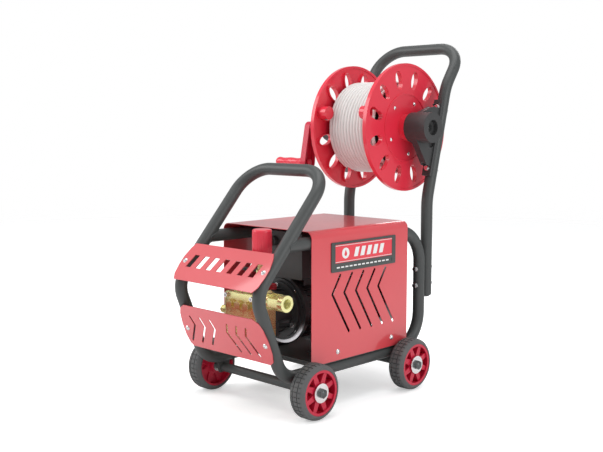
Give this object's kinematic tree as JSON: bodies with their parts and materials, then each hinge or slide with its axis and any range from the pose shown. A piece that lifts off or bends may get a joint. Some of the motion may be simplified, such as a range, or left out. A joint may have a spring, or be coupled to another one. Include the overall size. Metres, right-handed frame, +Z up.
{
  "type": "pressure washer",
  "caption": "Wheeled electric pressure washer: bent tube frame, vented sheet metal cover, brass pump head, push handle and a hose reel with crank.",
  "frame": {"origin": "on the ground, in the middle of the overall length and width (crank grip to wheel nuts, front panel to handle); the mid plane of the frame is 92.95 mm to +X of it and the front axle 282 mm to -Y of it", "axes": "+X to the machine's right side seen from the front, +Y to the rear where the handle is, +Z up"},
  "size_m": [0.6754, 0.9172, 1.0305],
  "materials": {
    "tube_paint": "satin dark grey powder coat",
    "zinc_steel": "zinc plated",
    "dark_steel": "dark oiled steel",
    "red_sheet": "gloss red powder coat on 1.5-2 mm sheet",
    "dark_plate": "dark plate",
    "white_inlay": "plain white inlays",
    "black_plastic": "moulded, fine texture",
    "motor_paint": "black paint on cast and sheet metal",
    "cast_grey": "dark grey cast",
    "core_steel": "laminations and copper winding",
    "brass": "machined brass",
    "plunger_steel": "ground and hardened",
    "black_rubber": "matt",
    "hose_grey": "light grey hose",
    "red_plastic": "moulded",
    "oil_cap_red": "moulded",
    "tyre_rubber": "solid rubber tyre"
  },
  "bodies": {
    "frame": {"axle_cap_nuts": "dark_steel", "axle_lugs": "tube_paint", "axle_washers": "zinc_steel", "axles": "tube_paint", "base_plate": "tube_paint", "bypass_hose": "black_rubber", "control_box": "black_plastic", "control_box_lid": "black_plastic", "cover": "red_sheet", "cross_tubes": "tube_paint", "dome_screws": "zinc_steel", "fan_cowl": "motor_paint", "front_end_shield": "cast_grey", "front_hoop": "tube_paint", "handle_end_plugs": "black_plastic", "head_bolts": "zinc_steel", "lower_front_panel": "red_sheet", "motor_bearings": "dark_steel", "motor_housing": "motor_paint", "motor_screws": "zinc_steel", "nameplate_inlays": "white_inlay", "nameplates": "dark_plate", "oil_cap": "oil_cap_red", "outlet_fitting": "brass", "plunger_springs": "dark_steel", "pump_crankcase": "motor_paint", "pump_head": "brass", "pump_plungers": "plunger_steel", "rear_end_shield": "motor_paint", "rear_handle": "tube_paint", "rear_loops": "tube_paint", "reel_brackets": "black_plastic", "stator": "core_steel", "supply_cable": "black_rubber", "tube_bolts": "zinc_steel", "unloader_body": "brass", "upper_front_panel": "red_sheet", "valve_caps": "brass"},
    "rotor": {"rotor_shaft": "dark_steel", "rotor_core": "core_steel", "cooling_fan": "black_plastic", "wobble_plate": "cast_grey"},
    "reel": {"reel_flanges": "red_plastic", "reel_drum": "black_plastic", "reel_screws": "zinc_steel", "wound_hose": "hose_grey", "reel_shaft": "zinc_steel", "crank_arm": "red_plastic"},
    "crank_grip": {"crank_grip": "red_plastic"},
    "pressure_knob": {"pressure_knob": "red_plastic"},
    "power_switch": {"power_switch": "black_plastic"},
    "inlet_coupling": {"inlet_coupling": "brass"},
    "wheel_front_left": {"tyre_front_left": "tyre_rubber", "rim_front_left": "red_plastic"},
    "wheel_front_right": {"tyre_front_right": "tyre_rubber", "rim_front_right": "red_plastic"},
    "wheel_rear_left": {"tyre_rear_left": "tyre_rubber", "rim_rear_left": "red_plastic"},
    "wheel_rear_right": {"tyre_rear_right": "tyre_rubber", "rim_rear_right": "red_plastic"}
  },
  "joints": [
    {"name": "wheel_front_left_spin", "type": "hinge", "parent": "frame", "child": "wheel_front_left", "pos_m": [-0.11505, -0.282, 0.075], "axis": [1, 0, 0], "continuous": true},
    {"name": "wheel_front_right_spin", "type": "hinge", "parent": "frame", "child": "wheel_front_right", "pos_m": [0.30095, -0.282, 0.075], "axis": [1, 0, 0], "continuous": true},
    {"name": "wheel_rear_left_spin", "type": "hinge", "parent": "frame", "child": "wheel_rear_left", "pos_m": [-0.11505, 0.126, 0.075], "axis": [1, 0, 0], "continuous": true},
    {"name": "wheel_rear_right_spin", "type": "hinge", "parent": "frame", "child": "wheel_rear_right", "pos_m": [0.30095, 0.126, 0.075], "axis": [1, 0, 0], "continuous": true},
    {"name": "reel_spin", "type": "hinge", "parent": "frame", "child": "reel", "pos_m": [0.09295, 0.2256, 0.7657], "axis": [1, 0, 0], "continuous": true},
    {"name": "crank_grip_spin", "type": "hinge", "parent": "reel", "child": "crank_grip", "pos_m": [-0.26705, 0.20893, 0.64999], "axis": [1, 0, 0], "continuous": true},
    {"name": "rotor_spin", "type": "hinge", "parent": "frame", "child": "rotor", "pos_m": [0.09295, -0.032, 0.256], "axis": [0, 1, 0], "continuous": true},
    {"name": "pressure_knob_turn", "type": "hinge", "parent": "frame", "child": "pressure_knob", "pos_m": [0.16595, -0.342, 0.46], "axis": [0, 0, 1], "range_deg": [-720, 720]},
    {"name": "power_switch_turn", "type": "hinge", "parent": "frame", "child": "power_switch", "pos_m": [0.08795, -0.227, 0.452], "axis": [0, -1, 0], "range_deg": [-90, 0]},
    {"name": "inlet_coupling_turn", "type": "hinge", "parent": "frame", "child": "inlet_coupling", "pos_m": [0.23295, -0.342, 0.311], "axis": [1, 0, 0], "continuous": true}
  ]
}
